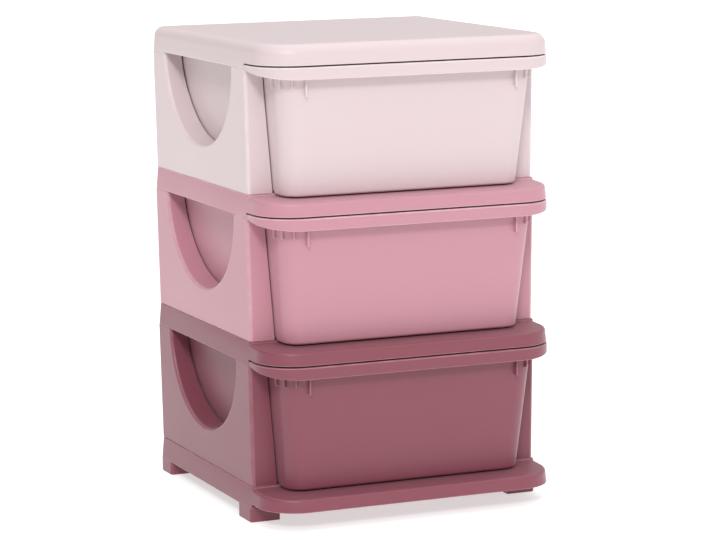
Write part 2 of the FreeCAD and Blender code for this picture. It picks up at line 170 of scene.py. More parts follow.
class Graph:
    """The node tree of one material, or of the sky."""

    def __init__(self, owner: bpy.types.Material | bpy.types.World) -> None:
        """Empties a node tree.

        Args:
            owner: The material or the sky that the tree belongs to.
        """
        owner.use_nodes = True
        self.owner = owner
        self.tree = owner.node_tree
        self.tree.nodes.clear()

    def node(self, kind: str, settings: dict[str, Any], inputs: dict[Any, Any]) -> bpy.types.Node:
        """Adds a node.

        Args:
            kind: The node's type name.
            settings: Properties that are set first.
            inputs: A value, a Value or a socket for each input, by name or number.

        Returns:
            The new node.
        """
        node = self.tree.nodes.new(kind)
        for field_name, setting in settings.items():
            setattr(node, field_name, setting)
        for key, given in inputs.items():
            source = given.socket if isinstance(given, Value) else given
            if isinstance(source, bpy.types.NodeSocket):
                self.tree.links.new(source, node.inputs[key])
            else:
                node.inputs[key].default_value = source
        return node

    def noise(self, place: bpy.types.NodeSocket, scale: float, detail: float) -> Value:
        """Adds a noise texture.

        Args:
            place: The coordinates that it reads.
            scale: Lumps per metre.
            detail: How many finer layers it has.

        Returns:
            The noise from 0 to 1.
        """
        node = self.node("ShaderNodeTexNoise", {}, {"Vector": place, "Scale": scale, "Detail": detail})
        return Value(self, node.outputs[0])

    def stretched(self, place: bpy.types.NodeSocket, scale: Sequence[float]) -> bpy.types.NodeSocket:
        """Stretches coordinates so that a pattern on them runs in streaks.

        Args:
            place: The coordinates to stretch.
            scale: The factors along X, Y and Z.

        Returns:
            The stretched coordinates.
        """
        return self.node("ShaderNodeMapping", {}, {"Vector": place, "Scale": scale}).outputs[0]

    def mixed(self, share: Value, first: Any, second: Any) -> bpy.types.NodeSocket:
        """Mixes two colours.

        Args:
            share: How much of the second colour shows.
            first: A colour or a socket.
            second: A colour or a socket.

        Returns:
            The mixed colour.
        """
        inputs = {MIX_SHARE: share, MIX_FIRST: first, MIX_SECOND: second}
        return self.node("ShaderNodeMix", {"data_type": "RGBA"}, inputs).outputs[MIX_RESULT]


@dataclass(frozen=True)
class PlasticFinish:
    """Satin moulded plastic of one colour, with faint clouding, fine grain and lighter edges that are partly
    rubbed wear and partly painted highlight.
    """

    slot: str
    colour: tuple[float, float, float]
    cloudy: tuple[float, float, float]
    edge_wear_highlight_colour: tuple[float, float, float]
    ior: float = 1.5
    sheen: float = 0.24
    sheen_roughness: float = 0.35
    roughness: float = 0.36
    cloud_roughness: float = 0.08
    grain_roughness: float = 0.04
    worn_gloss: float = 0.06
    cloud_scale: float = 9.0
    cloud_detail: float = 3.0
    streak_scale: tuple[float, float, float] = (4.0, 4.0, 30.0)
    streak_share: float = 0.4
    grain_scale: float = 1500.0
    peel_scale: float = 190.0
    peel_share: float = 0.5
    fine_detail: float = 2.0
    edge_wear_highlight_scale: float = 60.0
    edge_wear_highlight_detail: float = 4.0
    edge_wear_highlight_gain: float = 1.1
    cloud_share: float = 0.55
    grain_bump: float = 0.12
    bump_distance: float = 0.15 * MM

    def material(self) -> bpy.types.Material:
        """Builds the node material.

        Returns:
            The finished material.
        """
        graph = Graph(bpy.data.materials.new(self.slot + "_finish"))
        place = graph.node("ShaderNodeTexCoord", {}, {}).outputs["Object"]
        cloud = graph.noise(place, self.cloud_scale, self.cloud_detail)
        streak = graph.noise(graph.stretched(place, self.streak_scale), 1.0, self.fine_detail)
        grain = graph.noise(place, self.grain_scale, self.fine_detail)
        peel = graph.noise(place, self.peel_scale, self.fine_detail)
        edge_wear_highlight_breakup = graph.noise(place, self.edge_wear_highlight_scale, self.edge_wear_highlight_detail)
        marks = graph.node("ShaderNodeAttribute", {"attribute_name": EDGE_WEAR_HIGHLIGHT_LAYER}, {})
        edge_wear_highlight = Value(graph, marks.outputs["Fac"])
        # Lighter edges, partly wear and partly painted highlight: the marked rounding faces, broken up by
        # noise, take the lighter edge colour and a little more gloss.
        edge_wear_highlight_share = edge_wear_highlight * edge_wear_highlight_breakup * self.edge_wear_highlight_gain
        blotch = (cloud * (1 - self.streak_share) + streak * self.streak_share) * self.cloud_share
        body = graph.mixed(blotch, (*self.colour, 1.0), (*self.cloudy, 1.0))
        shown = graph.mixed(edge_wear_highlight_share, body, (*self.edge_wear_highlight_colour, 1.0))
        roughness = (self.roughness + cloud * self.cloud_roughness + grain * self.grain_roughness
                     - edge_wear_highlight_share * self.worn_gloss)
        height = grain * (1 - self.peel_share) + peel * self.peel_share
        bump = graph.node("ShaderNodeBump", {}, {
            "Strength": self.grain_bump, "Distance": self.bump_distance, "Height": height,
        })
        shader = graph.node("ShaderNodeBsdfPrincipled", {}, {
            "Base Color": shown, "Roughness": roughness, "Normal": bump.outputs[0], "IOR": self.ior,
            "Sheen Weight": self.sheen, "Sheen Roughness": self.sheen_roughness,
        })
        graph.node("ShaderNodeOutputMaterial", {}, {"Surface": shader.outputs[0]})
        return graph.owner


def arc(centre: tuple[float, float], radius: float, quarter: int, steps: int) -> list[tuple[float, float]]:
    """Walks a quarter circle, counter-clockwise.

    Args:
        centre: The circle's centre.
        radius: The circle's radius.
        quarter: Quarter turns from +X at which it starts.
        steps: How many straight steps stand for the arc.

    Returns:
        The points, with both ends.
    """
    angles = [QUARTER_TURN * (quarter + step / steps) for step in range(steps + 1)]
    return [(centre[0] + radius * math.cos(turn), centre[1] + radius * math.sin(turn)) for turn in angles]


def quarter_angles(steps: int) -> list[float]:
    """Returns the angles of a quarter turn's steps, without the first."""
    return [QUARTER_TURN * (step + 1) / steps for step in range(steps)]


@dataclass(frozen=True)
class Plan:
    """An outline seen from above, with round corners at both ends and extra points at stops on its flanks."""

    half_width: float
    front: float
    rear: float
    front_radius: float
    rear_radius: float
    stops: tuple[float, ...] = ()
    front_steps: int = 14
    rear_steps: int = 8

    def inset(self, amount: float) -> "Plan":
        """Lays the outline that lies inside this one.

        Args:
            amount: How far inside it lies, or outside where it is negative.

        Returns:
            The outline.
        """
        return replace(
            self,
            half_width=self.half_width - amount,
            front=self.front + amount,
            rear=self.rear - amount,
            front_radius=max(self.front_radius - amount, TINY),
            rear_radius=max(self.rear_radius - amount, TINY),
        )

    def points(self, height: float) -> list[Vector]:
        """Walks round the outline, starting at the right end of its front.

        Args:
            height: The level of the points.

        Returns:
            The points, the same number for every outline with the same steps and stops.
        """
        front_x = self.half_width - self.front_radius
        rear_x = self.half_width - self.rear_radius
        front_y = self.front + self.front_radius
        rear_y = self.rear - self.rear_radius
        walk = arc((front_x, front_y), self.front_radius, -1, self.front_steps)
        walk += [(self.half_width, stop) for stop in self.stops]
        walk += arc((rear_x, rear_y), self.rear_radius, 0, self.rear_steps)
        walk += arc((-rear_x, rear_y), self.rear_radius, 1, self.rear_steps)
        walk += [(-self.half_width, stop) for stop in reversed(self.stops)]
        walk += arc((-front_x, front_y), self.front_radius, 2, self.front_steps)
        return [Vector((x, y, height)) for x, y in walk]


class Moulding:
    """A mesh in the making: rings of vertices grow into walls, and walls are thickened into shells."""

    def __init__(self) -> None:
        """Starts an empty mesh with a layer that marks the edges that take the lighter colour of wear and
        painted highlight.
        """
        self.mesh = bmesh.new()
        self.edge_wear_highlight = self.mesh.faces.layers.float.new(EDGE_WEAR_HIGHLIGHT_LAYER)

    def ring(self, points: Iterable[Vector]) -> list[BMVert]:
        """Lays a closed ring of vertices.

        Args:
            points: The places of the vertices in order.

        Returns:
            The ring's vertices in the same order.
        """
        verts = [self.mesh.verts.new(point) for point in points]
        for first, second in zip(verts, verts[1:] + verts[:1]):
            self.mesh.edges.new((first, second))
        return verts

    def grow(self, ring: list[BMVert], points: Iterable[Vector]) -> list[BMVert]:
        """Extrudes a ring into a wall.

        Args:
            ring: The ring that the wall starts from.
            points: Where the wall's other edge lies, point by point.

        Returns:
            The ring at the other edge, in the same order.
        """
        edges = [self.mesh.edges.get(pair) for pair in zip(ring, ring[1:] + ring[:1])]
        made = bmesh.ops.extrude_edge_only(self.mesh, edges=edges)["geom"]
        fresh = {item for item in made if isinstance(item, BMVert)}
        after = []
        for vert, point in zip(ring, points):
            others = (edge.other_vert(vert) for edge in vert.link_edges)
            partner = next(other for other in others if other in fresh)
            partner.co = point
            after.append(partner)
        return after

    def cap(self, ring: list[BMVert]) -> BMFace:
        """Closes a ring with one face and returns it."""
        return self.mesh.faces.new(ring)

    def largest(self) -> BMFace:
        """Returns the face with the greatest area."""
        return max(self.mesh.faces, key=lambda face: face.calc_area())

    def shell(self, start: int, reference: BMFace, outwards: Vector, wall: float) -> None:
        """Gives the faces made since a count their thickness.

        Args:
            start: How many faces the mesh had before these.
            reference: One of the faces.
            outwards: The way that the reference face has to look.
            wall: The thickness, on the side that the faces look away from.
        """
        self.mesh.faces.ensure_lookup_table()
        faces = self.mesh.faces[start:]
        bmesh.ops.recalc_face_normals(self.mesh, faces=faces)
        if reference.normal.dot(outwards) < 0:
            bmesh.ops.reverse_faces(self.mesh, faces=faces)
        bmesh.ops.solidify(self.mesh, geom=faces, thickness=wall)
        self.mesh.normal_update()

    def split(self, point: Vector, normal: Vector) -> None:
        """Cuts every face along a plane, and keeps both halves."""
        geometry = self.mesh.verts[:] + self.mesh.edges[:] + self.mesh.faces[:]
        bmesh.ops.bisect_plane(self.mesh, geom=geometry, dist=HAIR, plane_co=point, plane_no=normal)

    def block(self, low: Sequence[float], high: Sequence[float], place: Matrix = IN_PLACE) -> None:
        """Adds a closed block.

        Args:
            low: Its lowest corner.
            high: Its highest corner.
            place: A turn and shift that is applied to it last.
        """
        low_corner, high_corner = Vector(low), Vector(high)
        size = Matrix.Diagonal((*(high_corner - low_corner), 1.0))
        middle = Matrix.Translation((low_corner + high_corner) / 2)
        bmesh.ops.create_cube(self.mesh, size=1.0, matrix=place @ middle @ size)

    def round(self, edges: Iterable[BMEdge], radius: float, segments: int) -> None:
        """Rounds edges and marks the new faces for the lighter edge colour, partly wear and partly painted
        highlight, the wide ones less.

        Args:
            edges: The edges to round.
            radius: The rounding's radius.
            segments: How many faces go round the edge.
        """
        made = bmesh.ops.bevel(self.mesh, geom=list(edges), offset=radius, offset_type="OFFSET",
                               segments=segments, profile=0.5, affect="EDGES", material=-1)
        # The marked faces take the lighter edge colour, which is partly wear and partly painted highlight.
        for face in made["faces"]:
            face[self.edge_wear_highlight] = min(1.0, EDGE_WEAR_HIGHLIGHT_RADIUS / radius)

    def soften(self, room: float = SOFT_RADIUS) -> None:
        """Rounds every edge that is still sharp, or leaves it crisp where it is crowded.

        Args:
            room: An edge that meets one shorter than this is crowded.
        """
        sharp = [edge for edge in self.mesh.edges
                 if len(edge.link_faces) == 2 and edge.calc_face_angle(0.0) > SHARP_ANGLE]
        crowded = {vert for edge in self.mesh.edges if edge.calc_length() < room for vert in edge.verts}
        for edge in sharp:
            edge.smooth = crowded.isdisjoint(edge.verts)
        self.round([edge for edge in sharp if edge.smooth], SOFT_RADIUS, SOFT_SEGMENTS)

    def finish(self, name: str) -> bpy.types.Object:
        """Turns the mesh into an object with smooth, evenly weighted shading.

        Args:
            name: The object's name.

        Returns:
            The object.
        """
        data = bpy.data.meshes.new(name)
        for face in self.mesh.faces:
            face.smooth = True
        self.mesh.to_mesh(data)
        self.mesh.free()
        piece = bpy.data.objects.new(name, data)
        bpy.context.scene.collection.objects.link(piece)
        weighted = piece.modifiers.new("even_shading", "WEIGHTED_NORMAL")
        weighted.keep_sharp = True
        return piece


@dataclass(frozen=True)
class Socket:
    """Where a tongue of one moulding plugs into the next, seen from above."""

    x: float
    y: float
    width: float
    depth: float

    @property
    def is_rear(self) -> bool:
        """Whether it takes a back panel's tongue, which is wider than deep."""
        return self.width > self.depth

    def corners(self, margin: float = 0.0) -> list[tuple[float, float]]:
        """Returns the corners, moved out by a margin, counter-clockwise from the front left."""
        across, along = self.width / 2 + margin, self.depth / 2 + margin
        return [(self.x + across * a, self.y + along * b) for a, b in ((-1, -1), (1, -1), (1, 1), (-1, 1))]


@dataclass(frozen=True)
class Cabinet:
    """Sizes that several mouldings share, in metres."""

    half_width: float
    front: float
    rear: float
    panel_front: float
    panel_rear: float
    panel_height: float
    panel_outer_top: float
    decks: dict[Tier, float]
    top: float
    floor_gap: float = 16.4 * MM
    wall: float = 2.4 * MM
    panel_draft: float = 2.5 * MM
    panel_top_thickness: float = 22.2 * MM
    panel_bottom_thickness: float = 30.9 * MM
    lip_corner: float = 48.5 * MM
    rear_corner: float = 10.0 * MM
    lip_lift: float = 6.0 * MM
    ledge_step: float = 2.2 * MM
    socket_inset: float = 12.0 * MM
    tongue_setback: float = 22.0 * MM
    tongue_length: float = 30.0 * MM
    tongue_thickness: float = 6.0 * MM
    tongue_height: float = 18.0 * MM
    back_depth: float = 12.0 * MM
    back_tongue_spread: float = 100.0 * MM
    back_tongue_share: float = 2 / 3

    @classmethod
    def measured(cls) -> "Cabinet":
        """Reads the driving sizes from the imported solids.

        Returns:
            The sizes.
        """
        panel_low, panel_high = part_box("left_panel_bottom")
        _, base_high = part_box("base")
        lower_low, lower_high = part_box("lower_shelf")
        _, upper_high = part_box("upper_shelf")
        _, cover_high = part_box("top_cover")
        drawer_low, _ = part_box("drawer_bottom")
        return cls(
            half_width=base_high.x,
            front=drawer_low.y,
            rear=base_high.y,
            panel_front=panel_low.y,
            panel_rear=panel_high.y,
            panel_height=lower_low.z - base_high.z,
            panel_outer_top=-panel_low.x,
            decks={Tier.BOTTOM: base_high.z, Tier.MIDDLE: lower_high.z, Tier.TOP: upper_high.z},
            top=cover_high.z,
        )

    @property
    def panel_middle(self) -> float:
        """The middle of the side panels from front to rear."""
        return (self.panel_front + self.panel_rear) / 2

    @property
    def panel_inner_top(self) -> float:
        """The side panels' inner faces at the top, from the middle of the cabinet."""
        return self.panel_outer_top - self.panel_top_thickness

    @property
    def panel_inner_bottom(self) -> float:
        """The side panels' inner faces at the bottom, from the middle of the cabinet."""
        return self.panel_outer_top - self.panel_draft - self.panel_bottom_thickness

    @property
    def lean(self) -> float:
        """How far the inner faces lean outwards per metre of height."""
        return (self.panel_inner_top - self.panel_inner_bottom) / self.panel_height

    @property
    def back_tongue_line(self) -> float:
        """Where the back panels' tongues stand, from front to rear."""
        return self.panel_rear - self.back_depth * self.back_tongue_share

    def sockets(self) -> list[Socket]:
        """Lists where tongues plug in.

        Returns:
            A socket for each tongue on one tier.
        """
        line = self.half_width - self.socket_inset
        along = (self.panel_rear - self.panel_front) / 2 - self.tongue_setback
        length, thickness = self.tongue_length, self.tongue_thickness
        spread, back_line = self.back_tongue_spread, self.back_tongue_line
        places = []
        for side in Side:
            for end in (-1, 1):
                places.append(Socket(line * side.value, self.panel_middle + along * end, thickness, length))
            places.append(Socket(spread * side.value, back_line, length, thickness))
        return places


@dataclass
class Piece:
    """One moulding that stands for one node of the frame."""

    node: str
    body: str
    finish: PlasticFinish
    material: bpy.types.Material
    cabinet: Cabinet

    def build(self) -> Moulding:
        """Makes the moulding's mesh."""
        raise NotImplementedError

    def tongue(self, form: Moulding, socket: Socket, top: float) -> None:
        """Stands a tongue that fits a socket on the piece's top."""
        near, far = socket.corners()[0], socket.corners()[2]
        form.block((*near, top - self.cabinet.wall / 2), (*far, top + self.cabinet.tongue_height))

    def dress(self) -> bpy.types.Object:
        """Builds the piece, gives it its finish and ties it to its body.

        Returns:
            The finished object.
        """
        piece = self.build().finish(self.node + "_moulding")
        piece.data.materials.append(self.material)
        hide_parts(self.node)
        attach(piece, self.body)
        LOG.info("%s: %d faces", piece.name, len(piece.data.polygons))
        return piece


@dataclass
class Band(Piece):
    """A deck with a drafted skirt, and a lip that lies a step lower over the drawer front."""

    low: float
    high: float
    edge_radius: float = 4.0 * MM
    edge_steps: int = 6
    draft: float = 2.3 * MM
    ledge_drop: float = 2.4 * MM
    collar_wall: float = 2.0 * MM
    collar_play: float = 0.3 * MM

    def build(self) -> Moulding:
        """Makes the skirted shell and the sockets under it.

        Returns:
            The mesh.
        """
        form = Moulding()
        self.skirt(form)
        self.collars(form)
        form.soften()
        return form

    @property
    def plan(self) -> Plan:
        """The band's outline at its lower edge, with stops before and at the panel fronts.

        Returns:
            The outline.
        """
        box = self.cabinet
        stops = (box.panel_front - TINY, box.panel_front)
        return Plan(box.half_width, box.front, box.rear, box.lip_corner, box.rear_corner, stops)

    def is_soft(self, point: Vector) -> bool:
        """Tells whether the deck's edge is rounded there: only round the lip."""
        return point.y < self.cabinet.panel_front - TINY / 2

    def edge_points(self, turn: float) -> list[Vector]:
        """Lays one ring of the rounding between skirt and deck, a crisp edge where it isn't soft.

        Args:
            turn: How far the rounding has turned, from the skirt to the deck.

        Returns:
            The points in the order of the band's outline.
        """
        radius = self.edge_radius
        shoulder = self.draft * (1 - radius / (self.high - self.low))
        inset = shoulder + radius * (1 - math.cos(turn))
        soft = self.plan.inset(inset).points(self.high - radius * (1 - math.sin(turn)))
        crisp = self.plan.inset(self.draft).points(self.high)
        return [near if self.is_soft(near) else far for near, far in zip(soft, crisp)]

    def skirt(self, form: Moulding) -> None:
        """Makes the shell from its skirt's lower edge to the deck, with the lip's underside raised.

        Args:
            form: The mesh in the making.
        """
        box = self.cabinet
        ring = form.ring(self.plan.points(self.low))
        for turn in (0.0, *quarter_angles(self.edge_steps)):
            ring = form.grow(ring, self.edge_points(turn))
        form.cap(ring)
        bmesh.ops.remove_doubles(form.mesh, verts=form.mesh.verts[:], dist=HAIR)
        lift = self.low + box.lip_lift
        form.split(REARWARD * box.panel_front, REARWARD)
        form.split(REARWARD * (box.panel_front - TINY), REARWARD)
        form.split(UP * lift, UP)
        under_lip = []
        for face in form.mesh.faces:
            middle = face.calc_center_median()
            if middle.z < lift and middle.y < box.panel_front:
                under_lip.append(face)
        bmesh.ops.delete(form.mesh, geom=under_lip, context="FACES")
        self.ledge(form)
        form.shell(0, form.largest(), UP, box.wall)

    def ledge(self, form: Moulding) -> None:
        """Lowers the lip's top by a step in front of the panels, and slopes it down to the front.

        Args:
            form: The mesh in the making.
        """
        box = self.cabinet
        slope = self.ledge_drop / (box.panel_front - box.front)
        for vert in form.mesh.verts:
            if vert.co.y < box.panel_front - TINY / 2 and vert.co.z > self.high - self.edge_radius - TINY:
                vert.co.z -= box.ledge_step + slope * (box.panel_front - vert.co.y)

    def collars(self, form: Moulding) -> None:
        """Hangs a socket under the deck for each tongue of the tier below.

        Args:
            form: The mesh in the making.
        """
        for socket in self.cabinet.sockets():
            start = len(form.mesh.faces)
            spots = socket.corners(self.collar_play + self.collar_wall)
            ring = form.ring(Vector((*spot, self.low)) for spot in spots)
            form.grow(ring, [Vector((*spot, self.high - self.cabinet.wall)) for spot in spots])
            form.mesh.faces.ensure_lookup_table()
            front_face = min(form.mesh.faces[start:], key=lambda face: face.calc_center_median().y)
            form.shell(start, front_face, -REARWARD, self.collar_wall)


@dataclass
class Lid(Band):
    """The topmost deck, level and softly rounded all the way round."""

    edge_radius: float = 13.0 * MM
    edge_steps: int = 10

    def is_soft(self, point: Vector) -> bool:
        """Tells that the edge is rounded everywhere."""
        return True

    def ledge(self, form: Moulding) -> None:
        """Leaves the lip level with the rest."""


@dataclass
class FootedBand(Band):
    """The lowest deck, with four feet moulded on."""

    foot_width: float = 37.0 * MM
    foot_depth: float = 42.0 * MM
    foot_corner: float = 4.0 * MM
    foot_corner_steps: int = 4
    rear_corner_steps: int = 8

    def build(self) -> Moulding:
        """Makes the skirted shell and the feet, whose round corners are softened although they are crowded.

        Returns:
            The mesh.
        """
        form = Moulding()
        self.skirt(form)
        box = self.cabinet
        for side in Side:
            self.foot(form, side, box.panel_front, self.foot_corner)
            self.foot(form, side, box.rear - self.foot_depth, box.rear_corner)
        form.soften(room=0.0)
        return form

    def foot(self, form: Moulding, side: Side, near: float, rear_radius: float) -> None:
        """Adds one hollow foot.

        Args:
            form: The mesh in the making.
            side: The flank that it stands on.
            near: Where it starts at its front.
            rear_radius: The radius of its outer rear corner.
        """
        outer = self.cabinet.half_width
        far = near + self.foot_depth
        walk = [(outer - self.foot_width, near)]
        corner = self.foot_corner
        walk += arc((outer - corner, near + corner), corner, -1, self.foot_corner_steps)
        walk += arc((outer - rear_radius, far - rear_radius), rear_radius, 0, self.rear_corner_steps)
        walk += [(outer - self.foot_width, far)]
        spots = [(x * side.value, y) for x, y in walk]
        start = len(form.mesh.faces)
        ring = form.ring(Vector((*spot, 0.0)) for spot in spots)
        ring = form.grow(ring, [Vector((*spot, self.low + self.cabinet.wall)) for spot in spots])
        form.shell(start, form.cap(ring), UP, self.cabinet.wall)


@dataclass
class SidePanel(Piece):
    """A hollow flank with a half-round window that is open at the top."""

    side: Side
    deck: float
    window_half: float = 115.0 * MM
    window_depth: float = 104.2 * MM
    window_steps: int = 48
    edge_radius: float = 4.0 * MM
    window_edge_radius: float = 4.0 * MM
    edge_steps: int = 6

    def outline(self) -> list[tuple[float, float]]:
        """Walks round the panel as seen from its side.

        Returns:
            Y and the height above the deck of each point.
        """
        box = self.cabinet
        middle, height = box.panel_middle, box.panel_height
        walk = [(box.panel_front, 0.0), (box.panel_rear, 0.0), (box.panel_rear, height)]
        for step in range(self.window_steps + 1):
            turn = math.pi * step / self.window_steps
            along, down = self.window_half * math.cos(turn), self.window_depth * math.sin(turn)
            walk.append((middle + along, height - down))
        walk.append((box.panel_front, height))
        return walk

    def build(self) -> Moulding:
        """Makes the skin, its flanges and the window's return, and the tongues on top.

        Returns:
            The mesh.
        """
        box = self.cabinet
        form = Moulding()
        walk = self.outline()

        def flank(bottom: float, top: float) -> list[Vector]:
            """Lays the outline on a face that leans from one half-width to another."""
            lean = (top - bottom) / box.panel_height
            return [Vector(((bottom + lean * z) * self.side.value, y, self.deck + z)) for y, z in walk]

        ring = form.ring(flank(box.panel_outer_top - box.panel_draft, box.panel_outer_top))
        skin = form.cap(ring)
        form.grow(ring, flank(box.panel_inner_bottom, box.panel_inner_top))
        upright = [edge for edge in skin.edges if abs(edge.verts[0].co.y - edge.verts[1].co.y) < HAIR
                   and edge.calc_length() > box.panel_height / 2]
        form.round(upright, self.edge_radius, self.edge_steps)
        inside = self.window_half + box.wall / 2
        lowest = self.deck + TINY
        outer = box.panel_outer_top - box.panel_draft - TINY

        def on_rim(spot: Vector) -> bool:
            """Tells whether a place is on the window's outer edge."""
            return abs(spot.y - box.panel_middle) < inside and spot.z > lowest and abs(spot.x) > outer

        rim = [edge for edge in form.mesh.edges if all(on_rim(vert.co) for vert in edge.verts)]
        form.round(rim, self.window_edge_radius, self.edge_steps)
        form.shell(0, form.largest(), Vector((self.side.value, 0, 0)), box.wall)
        for socket in box.sockets():
            if socket.x * self.side.value > box.panel_inner_top:
                self.tongue(form, socket, self.deck + box.panel_height)
        form.soften()
        return form


@dataclass
class BackPanel(Piece):
    """A shallow tray that closes the rear of a tier."""

    deck: float
    play: float = 0.3 * MM
    rib_spread: float = 60.0 * MM
    rib_width: float = 3.0 * MM

    def build(self) -> Moulding:
        """Makes the tray, its two ribs and its tongues.

        Returns:
            The mesh.
        """
        box = self.cabinet
        form = Moulding()
        low_half = box.panel_inner_bottom - self.play
        high_half = box.panel_inner_top - self.play
        top = self.deck + box.panel_height

        def upright(y: float) -> list[Vector]:
            """Lays the tray's outline at one depth."""
            return [Vector((-low_half, y, self.deck)), Vector((low_half, y, self.deck)),
                    Vector((high_half, y, top)), Vector((-high_half, y, top))]

        ring = form.ring(upright(box.panel_rear))
        back = form.cap(ring)
        inner_face = box.panel_rear - box.back_depth
        form.grow(ring, upright(inner_face))
        form.shell(0, back, REARWARD, box.wall)
        for side in Side:
            x = self.rib_spread * side.value
            form.block((x - self.rib_width / 2, inner_face, self.deck + box.wall / 2),
                       (x + self.rib_width / 2, box.panel_rear - box.wall / 2, top - box.wall / 2))
        for socket in box.sockets():
            if socket.is_rear:
                self.tongue(form, socket, top)
        form.soften()
        return form


@dataclass
class Drawer(Piece):
    """A tapered tub with a turned-down rim that widens into a pull at the front."""

    deck: float
    gap: float = 1.5 * MM
    reach: float = 37.0 * MM
    back_gap: float = 6.0 * MM
    rake: float = 23.0 * MM
    corner: float = 22.0 * MM
    top_corner: float = 28.0 * MM
    wall: float = 2.2 * MM
    floor_radius: float = 1.8 * MM
    floor_steps: int = 5
    skid_height: float = 0.6 * MM
    skid_width: float = 10.0 * MM
    skid_spread: float = 100.0 * MM
    skid_margin: float = 30.0 * MM
    bead: float = 2.0 * MM
    bead_height: float = 4.0 * MM
    rim_gap: float = 1.8 * MM
    rim_height: float = 14.5 * MM
    rim_root_height: float = 5.0 * MM
    rim_edge_radius: float = 1.6 * MM
    rim_inner_radius: float = 1.0 * MM
    rim_steps: int = 5
    toe_gap: float = 0.6 * MM
    rib_thickness: float = 2.0 * MM
    short_rib_depth: float = 4.0 * MM
    long_rib_depth: float = 7.0 * MM
    short_rib: float = 26.0 * MM
    long_rib: float = 34.5 * MM
    short_turns: tuple[float, ...] = (0.0, 30.0, 60.0)
    long_turns: tuple[float, ...] = (90.0,)

    @property
    def top(self) -> float:
        """The rim's top above the deck."""
        return self.cabinet.panel_height + self.cabinet.lip_lift - self.rim_gap

    @property
    def rim_rear(self) -> float:
        """Where the pull ends, just ahead of the panels."""
        return self.cabinet.panel_front - self.rim_gap

    @property
    def toe_line(self) -> float:
        """Where the lower floor of the toe ends, a wall's thickness ahead of the decks' step."""
        return self.cabinet.panel_front - self.toe_gap - self.wall

    @property
    def stops(self) -> tuple[float, ...]:
        """Where the floor steps down, and where the rim changes from the pull to the plain bead."""
        return self.toe_line - TINY, self.toe_line, self.rim_rear, self.rim_rear + self.rim_gap

    def plan(self, level: float) -> Plan:
        """Lays the tub's outer outline.

        Args:
            level: The height above the deck.

        Returns:
            The outline.
        """
        box = self.cabinet
        share = level / self.top
        half_width = box.panel_inner_bottom + box.lean * level - self.gap
        rear = box.panel_rear - box.back_depth - self.back_gap - box.lean * (self.top - level)
        front = box.panel_front - self.reach - self.rake * share
        radius = self.corner + (self.top_corner - self.corner) * share
        return Plan(half_width, front, rear, radius, radius, self.stops)

    def rim_points(self) -> list[Vector]:
        """Lays the rim's outer edge: the lip's outline in front of the panels, a narrow bead behind.

        Returns:
            The points in the order of the tub's outline.
        """
        box = self.cabinet
        level = self.deck + self.top
        lip = Plan(box.half_width, box.front, box.rear, box.lip_corner, box.rear_corner, self.stops)
        pull = lip.points(level)
        edge = self.plan(self.top).inset(-self.bead).points(level)
        return [wide if wide.y < self.rim_rear + TINY else narrow for wide, narrow in zip(pull, edge)]

    def build(self) -> Moulding:
        """Makes the tub with its rim, the gusset ribs and the skids, no wider than the cabinet.

        Returns:
            The mesh.
        """
        form = Moulding()
        self.tub(form)
        self.ribs(form)
        self.skids(form)
        form.soften()
        # The softened ends of the pull would stand proud of the flanks.
        widest = self.cabinet.half_width
        for vert in form.mesh.verts:
            vert.co.x = max(-widest, min(widest, vert.co.x))
        return form

    def tub(self, form: Moulding) -> None:
        """Makes the inner face from the floor up, over the rim and down, then thickens it.

        Args:
            form: The mesh in the making.
        """
        floor = self.skid_height + self.wall
        radius = self.floor_radius
        ring = form.ring(self.plan(floor).inset(self.wall + radius).points(self.deck + floor))
        form.cap(ring)
        for turn in quarter_angles(self.floor_steps):
            level = floor + radius * (1 - math.cos(turn))
            inset = self.wall + radius * (1 - math.sin(turn))
            ring = form.grow(ring, self.plan(level).inset(inset).points(self.deck + level))
        self.toe(form, self.deck + floor + radius)
        inner = form.grow(ring, self.plan(self.top).inset(self.wall).points(self.deck + self.top))
        outer = form.grow(inner, self.rim_points())
        form.grow(outer, self.skirt_points())
        form.shell(0, form.largest(), UP, self.wall)
        for loop, rounding in ((inner, self.rim_inner_radius), (outer, self.rim_edge_radius)):
            edges = [form.mesh.edges.get(pair) for pair in zip(loop, loop[1:] + loop[:1])]
            form.round(edges, rounding, self.rim_steps)

    def toe(self, form: Moulding, shoulder: float) -> None:
        """Lowers the floor in front of the decks' step, so that the step stops the drawer.

        Args:
            form: The mesh in the making.
            shoulder: The level where the walls begin.
        """
        drop = self.skid_height + self.cabinet.ledge_step - self.toe_gap
        for line in (self.toe_line, self.toe_line - TINY):
            form.split(REARWARD * line, REARWARD)
        for vert in form.mesh.verts:
            if vert.co.y < self.toe_line - TINY / 2 and vert.co.z < shoulder - HAIR:
                vert.co.z -= drop

    def skirt_points(self) -> list[Vector]:
        """Lays the rim's lower edge, deepest at the front.

        Returns:
            The points in the order of the tub's outline.
        """
        slant = (self.rim_height - self.rim_root_height) / (self.rim_rear - self.cabinet.front)
        walk = self.rim_points()
        for point in walk:
            depth = self.bead_height
            if point.y < self.rim_rear + TINY:
                depth = self.rim_root_height + slant * (self.rim_rear - point.y)
            point.z -= depth
        return walk

